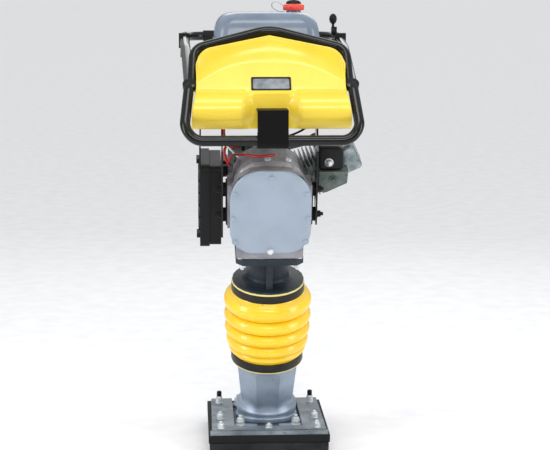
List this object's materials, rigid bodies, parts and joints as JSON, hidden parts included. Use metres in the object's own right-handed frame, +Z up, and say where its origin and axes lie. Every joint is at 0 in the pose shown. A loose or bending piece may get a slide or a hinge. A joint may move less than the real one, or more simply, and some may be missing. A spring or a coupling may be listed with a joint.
{
  "type": "tamping rammer",
  "caption": "Upright tamping rammer: laminated shoe, yellow bellows leg, flat crankcase, side engine, hooded fuel tank and tube handle.",
  "frame": {"origin": "middle of the sole, on the ground", "axes": "+Z up, +X to the right seen from the front, -Y towards the front (crankcase cover), +Y towards the operator"},
  "size_m": [0.4485, 0.77, 1.0975],
  "materials": {
    "cast_aluminium": "sand-cast aluminium, machined edges",
    "cover_aluminium": "pale painted aluminium plate",
    "slate_casting": "dark slate painted casting",
    "black_paint": "glossy black powder coat",
    "grey_paint": "grey painted steel",
    "olive_paint": "olive-grey pressed steel",
    "bright_steel": "zinc-plated steel",
    "dark_steel": "dark bare steel",
    "yellow_rubber": "yellow polyurethane bellows",
    "yellow_plastic": "yellow moulded hood",
    "tank_plastic": "grey-blue blow-moulded tank",
    "black_plastic": "black moulded plastic",
    "red_plastic": "red moulded plastic",
    "black_rubber": "black rubber",
    "oiled_wood": "dark oiled laminated wood"
  },
  "bodies": {
    "foot": {"sole_plate": "dark_steel", "wood_block": "oiled_wood", "cushion_slab": "black_rubber", "shoe_tray": "grey_paint", "shoe_bolts": "bright_steel", "stud_plate": "dark_steel", "foot_casting": "cast_aluminium", "lower_clamp_band": "slate_casting", "spring_cylinder": "bright_steel", "lower_spring": "dark_steel", "upper_spring": "dark_steel", "bellows": "yellow_rubber"},
    "machine": {"guide_cylinder": "slate_casting", "flange_studs": "bright_steel", "upper_clamp_band": "slate_casting", "crankcase": "cast_aluminium", "crankcase_cover": "cover_aluminium", "cover_gasket": "black_rubber", "shaft_bearings": "bright_steel", "engine_block": "cast_aluminium", "cylinder": "cast_aluminium", "valve_cover": "cast_aluminium", "spark_plug": "black_rubber", "muffler": "olive_paint", "fan_housing": "black_plastic", "recoil_cover": "black_plastic", "air_filter_case": "black_plastic", "air_filter_lid": "black_plastic", "carburettor": "cast_aluminium", "left_mounts": "black_rubber", "right_mounts": "black_rubber"},
    "ram": {"piston_rod": "bright_steel"},
    "crank": {"crank_gear": "bright_steel"},
    "rod": {"connecting_rod": "cast_aluminium"},
    "clutch": {"clutch_drum": "dark_steel", "pinion": "bright_steel"},
    "engine_shaft": {"crankshaft": "bright_steel", "flywheel": "cast_aluminium"},
    "recoil": {"recoil_pulley": "black_plastic"},
    "starter": {"starter_grip": "black_plastic"},
    "choke": {"choke_lever": "black_plastic"},
    "oil_cap": {"oil_filler_cap": "black_plastic"},
    "handle": {"left_bracket": "black_paint", "right_bracket": "black_paint", "carrier_frame": "black_paint", "front_bar": "black_paint", "peak_bar": "black_paint", "operator_loop": "black_paint", "centre_plate": "black_paint", "hood": "yellow_plastic", "hood_window": "black_plastic", "fuel_tank": "tank_plastic", "fuel_hose": "red_plastic", "throttle_clamp": "black_plastic", "throttle_cable": "black_plastic", "stop_switch": "black_plastic"},
    "cap": {"tank_cap": "red_plastic"},
    "tap": {"fuel_tap_lever": "red_plastic"},
    "throttle": {"throttle_lever": "black_plastic"},
    "stop": {"stop_button": "red_plastic"}
  },
  "joints": [
    {"name": "ram_stroke", "type": "slide", "parent": "foot", "child": "machine", "axis": [0, -0.2756, 0.9613], "range_m": [-0.035, 0.03], "stiffness_N_per_m": 20000, "springref_m": 0.0231, "deforming": ["bellows", "lower_spring", "upper_spring"]},
    {"name": "ram_slide", "type": "slide", "parent": "machine", "child": "ram", "axis": [0, -0.2756, 0.9613], "range_m": [0, 0.05]},
    {"name": "crank_turn", "type": "hinge", "parent": "machine", "child": "crank", "pos_m": [0, -0.13535, 0.66723], "axis": [0, 0.9613, 0.2756], "continuous": true},
    {"name": "rod_turn", "type": "hinge", "parent": "crank", "child": "rod", "pos_m": [0, -0.15345, 0.63603], "axis": [0, 0.9613, 0.2756], "continuous": true},
    {"name": "clutch_turn", "type": "hinge", "parent": "machine", "child": "clutch", "pos_m": [0, -0.11385, 0.59225], "axis": [0, 0.9613, 0.2756], "continuous": true},
    {"name": "engine_turn", "type": "hinge", "parent": "machine", "child": "engine_shaft", "pos_m": [0, 0.01496, 0.62918], "axis": [0, 0.9613, 0.2756], "continuous": true},
    {"name": "starter_pull", "type": "slide", "parent": "machine", "child": "starter", "axis": [-1, 0, 0], "range_m": [0, 0.25], "stiffness_N_per_m": 40},
    {"name": "recoil_turn", "type": "hinge", "parent": "machine", "child": "recoil", "pos_m": [0, 0.13127, 0.66254], "axis": [0, 0.9613, 0.2756], "range_deg": [0, 360]},
    {"name": "choke_turn", "type": "hinge", "parent": "machine", "child": "choke", "pos_m": [-0.058, -0.05053, 0.74148], "axis": [0, 0.9613, 0.2756], "range_deg": [0, 70]},
    {"name": "oil_cap_turn", "type": "hinge", "parent": "machine", "child": "oil_cap", "pos_m": [-0.082, -0.01247, 0.57971], "axis": [-1, 0, 0], "range_deg": [0, 180]},
    {"name": "handle_rock", "type": "hinge", "parent": "machine", "child": "handle", "pos_m": [0, -0.14918, 0.62113], "axis": [1, 0, 0], "range_deg": [-3, 3], "stiffness_Nm_per_rad": 3000, "deforming": ["fuel_hose", "throttle_cable"]},
    {"name": "cap_turn", "type": "hinge", "parent": "handle", "child": "cap", "pos_m": [0.07, 0.04, 1.08], "axis": [0, 0, 1], "range_deg": [0, 90]},
    {"name": "tap_turn", "type": "hinge", "parent": "handle", "child": "tap", "pos_m": [-0.1, 0.005, 0.913], "axis": [0, 1, 0], "range_deg": [0, 90]},
    {"name": "throttle_turn", "type": "hinge", "parent": "handle", "child": "throttle", "pos_m": [0.182, 0.2, 1.016], "axis": [1, 0, 0], "range_deg": [-25, 50]},
    {"name": "stop_press", "type": "slide", "parent": "handle", "child": "stop", "axis": [0, -1, 0], "range_m": [0, 0.003], "stiffness_N_per_m": 600}
  ],
  "couplings": [
    {"joint": "clutch_turn", "follows": "crank_turn", "ratio": -3.3333},
    {"joint": "rod_turn", "follows": "crank_turn", "ratio": -1},
    {"joint": "recoil_turn", "follows": "starter_pull", "rad_per_m": 24}
  ]
}
